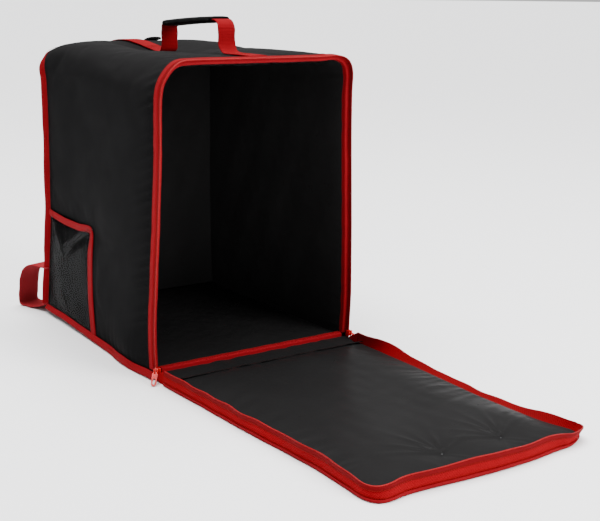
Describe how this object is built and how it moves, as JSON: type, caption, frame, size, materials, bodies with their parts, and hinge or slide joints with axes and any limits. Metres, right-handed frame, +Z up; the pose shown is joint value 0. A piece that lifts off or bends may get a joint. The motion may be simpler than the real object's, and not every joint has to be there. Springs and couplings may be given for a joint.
{
  "type": "insulated delivery bag",
  "caption": "Tall insulated delivery bag with a zipped front flap that drops open, webbing carry handle, document pocket and rear webbing loops.",
  "frame": {"origin": "centre of the base's underside, under the bag itself without its open flap", "axes": "+Z up, -Y out of the mouth along the open flap, +X to the right seen from the front"},
  "size_m": [0.4174, 1.0346, 0.5523],
  "materials": {
    "black_nylon": "padded nylon, soft sheen",
    "foam": "closed-cell foam",
    "grey_liner": "coated wipe-clean liner",
    "stiff_board": "plain stiffener board",
    "red_binding": "woven tape",
    "red_webbing": "woven webbing",
    "red_zipper": "zipper tape and coil",
    "red_slider": "gloss enamel",
    "clear_sheet": "clear flexible sheet",
    "black_grip": "soft padded wrap",
    "black_rivet": "gloss"
  },
  "bodies": {
    "bag": {"wrap_cover": "black_nylon", "back_cover": "black_nylon", "base_cover": "black_nylon", "wrap_foam": "foam", "back_foam": "foam", "base_foam": "foam", "wrap_lining": "grey_liner", "back_lining": "grey_liner", "base_lining": "grey_liner", "base_board": "stiff_board", "front_binding": "red_binding", "base_front_binding": "red_binding", "back_binding": "red_binding", "base_binding": "red_binding", "pocket_binding": "red_binding", "body_zip_tape": "red_zipper", "body_zip_coil": "red_zipper", "pocket_window": "clear_sheet", "strap_front": "red_webbing", "strap_rear": "red_webbing", "rear_loop_left": "red_webbing", "rear_loop_right": "red_webbing", "rear_tab": "black_grip"},
    "flap": {"flap_cover": "black_nylon", "flap_foam": "foam", "flap_lining": "grey_liner", "flap_zip_band": "red_binding", "flap_zip_coil": "red_zipper", "flap_edge_binding": "red_binding", "flap_tack_left": "black_rivet", "flap_tack_right": "black_rivet"},
    "slider_left": {"zip_slider_left": "red_slider"},
    "slider_right": {"zip_slider_right": "red_slider"},
    "pull_left": {"zip_pull_left": "red_slider"},
    "pull_right": {"zip_pull_right": "red_slider"},
    "handle_rear": {"handle_leg_rear": "red_webbing"},
    "handle_front": {"handle_leg_front": "red_webbing"},
    "handle_top": {"handle_webbing": "red_webbing", "handle_grip": "black_grip"}
  },
  "joints": [
    {"name": "flap_fold", "type": "hinge", "parent": "bag", "child": "flap", "pos_m": [0, -0.244, 0.0015], "axis": [-1, 0, 0], "range_deg": [0, 90]},
    {"name": "slide_left", "type": "slide", "parent": "bag", "child": "slider_left", "axis": [0, 0, 1], "range_m": [0, 0.42]},
    {"name": "slide_right", "type": "slide", "parent": "bag", "child": "slider_right", "axis": [0, 0, 1], "range_m": [0, 0.42]},
    {"name": "pull_left_swing", "type": "hinge", "parent": "slider_left", "child": "pull_left", "pos_m": [-0.1862, -0.22, 0.0165], "axis": [0, 1, 0], "range_deg": [-55, 110]},
    {"name": "pull_right_swing", "type": "hinge", "parent": "slider_right", "child": "pull_right", "pos_m": [0.1862, -0.22, 0.0165], "axis": [0, -1, 0], "range_deg": [-55, 110]},
    {"name": "handle_fold", "type": "hinge", "parent": "bag", "child": "handle_rear", "pos_m": [0, 0.08, 0.48839], "axis": [1, 0, 0], "range_deg": [-70, 70]},
    {"name": "handle_front_fold", "type": "hinge", "parent": "bag", "child": "handle_front", "pos_m": [0, -0.11, 0.48839], "axis": [1, 0, 0], "range_deg": [-70, 70]},
    {"name": "handle_level", "type": "hinge", "parent": "handle_rear", "child": "handle_top", "pos_m": [0, 0.08, 0.52438], "axis": [1, 0, 0], "range_deg": [-70, 70]}
  ],
  "couplings": [
    {"joint": "handle_front_fold", "follows": "handle_fold", "ratio": 1},
    {"joint": "handle_level", "follows": "handle_fold", "ratio": -1}
  ]
}
